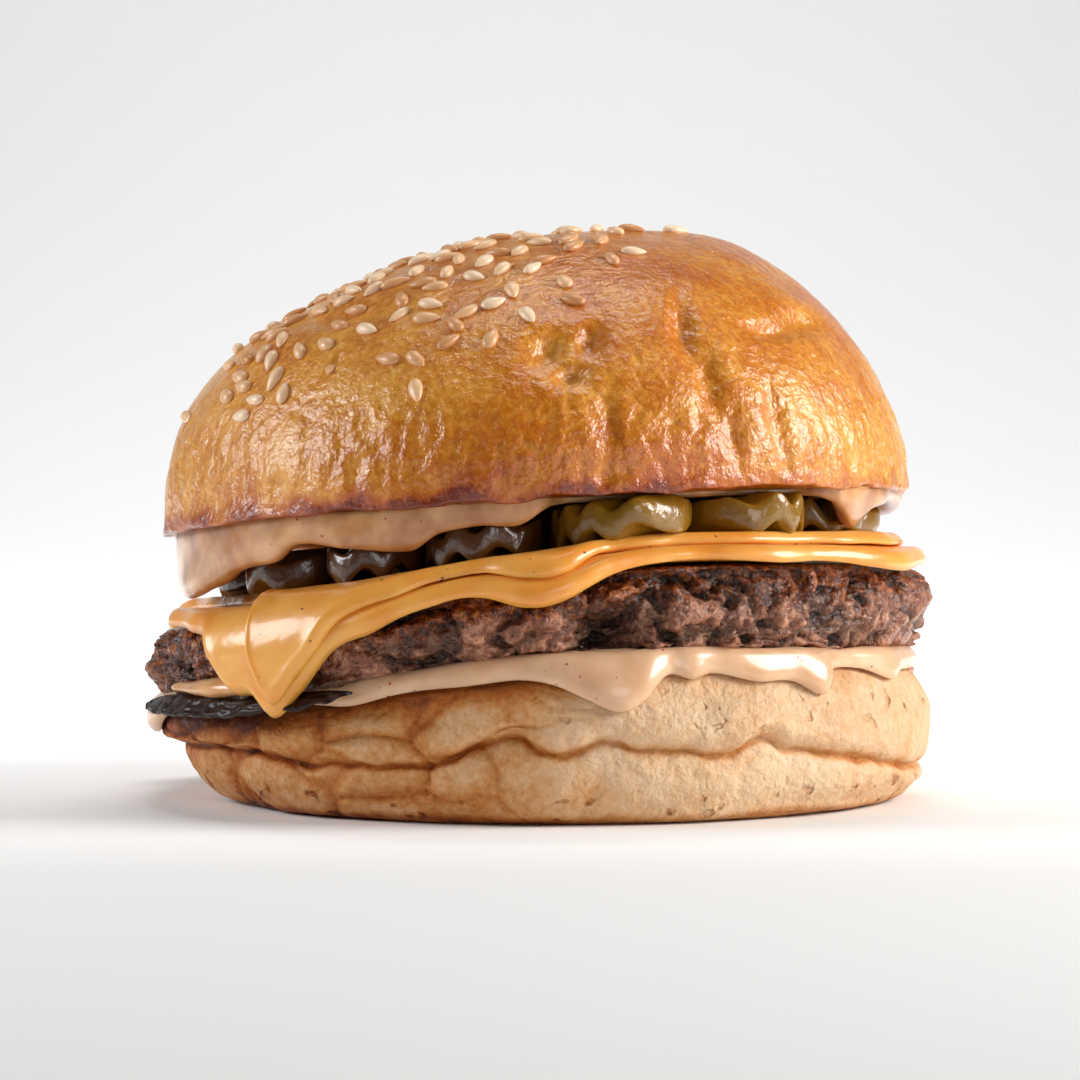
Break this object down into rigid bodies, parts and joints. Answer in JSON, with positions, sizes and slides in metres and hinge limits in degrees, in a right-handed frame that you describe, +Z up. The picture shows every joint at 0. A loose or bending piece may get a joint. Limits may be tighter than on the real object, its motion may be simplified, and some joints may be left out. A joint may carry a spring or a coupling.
{
  "type": "cheeseburger",
  "caption": "Cheeseburger: seeded bun crown and pale heel around a craggy seared patty, draped melted cheese slices, wavy pickle slices and dripping cream-coloured sauce.",
  "frame": {"origin": "middle of the bounding box's underside, on the surface that the heel rests on", "axes": "+Z up; the side that the picture shows faces -Y, and +X is the picture's right"},
  "size_m": [0.1054, 0.1047, 0.0762],
  "materials": {
    "bun_top": "soft glossy golden-brown baked crust with cream sesame seeds",
    "bun_bottom": "pale dry bread with fine pores, toasted along its upper edge",
    "patty": "seared minced beef, dark crust with wet highlights",
    "cheese": "melted processed cheese, satin, slightly translucent",
    "sauce": "thick creamy dressing with fine red and dark specks",
    "pickle": "wet crinkle-cut gherkin, olive green to brown"
  },
  "bodies": {
    "root": {"bun_bottom": "bun_bottom", "sauce_lower": "sauce", "patty": "patty", "cheese_lower": "cheese", "cheese_upper": "cheese", "pickle_1": "pickle", "pickle_2": "pickle", "pickle_3": "pickle", "pickle_4": "pickle", "pickle_5": "pickle", "pickle_6": "pickle", "pickle_7": "pickle", "pickle_8": "pickle", "pickle_9": "pickle", "pickle_10": "pickle", "pickle_11": "pickle", "sauce_upper": "sauce", "bun_top": "bun_top"}
  },
  "joints": []
}
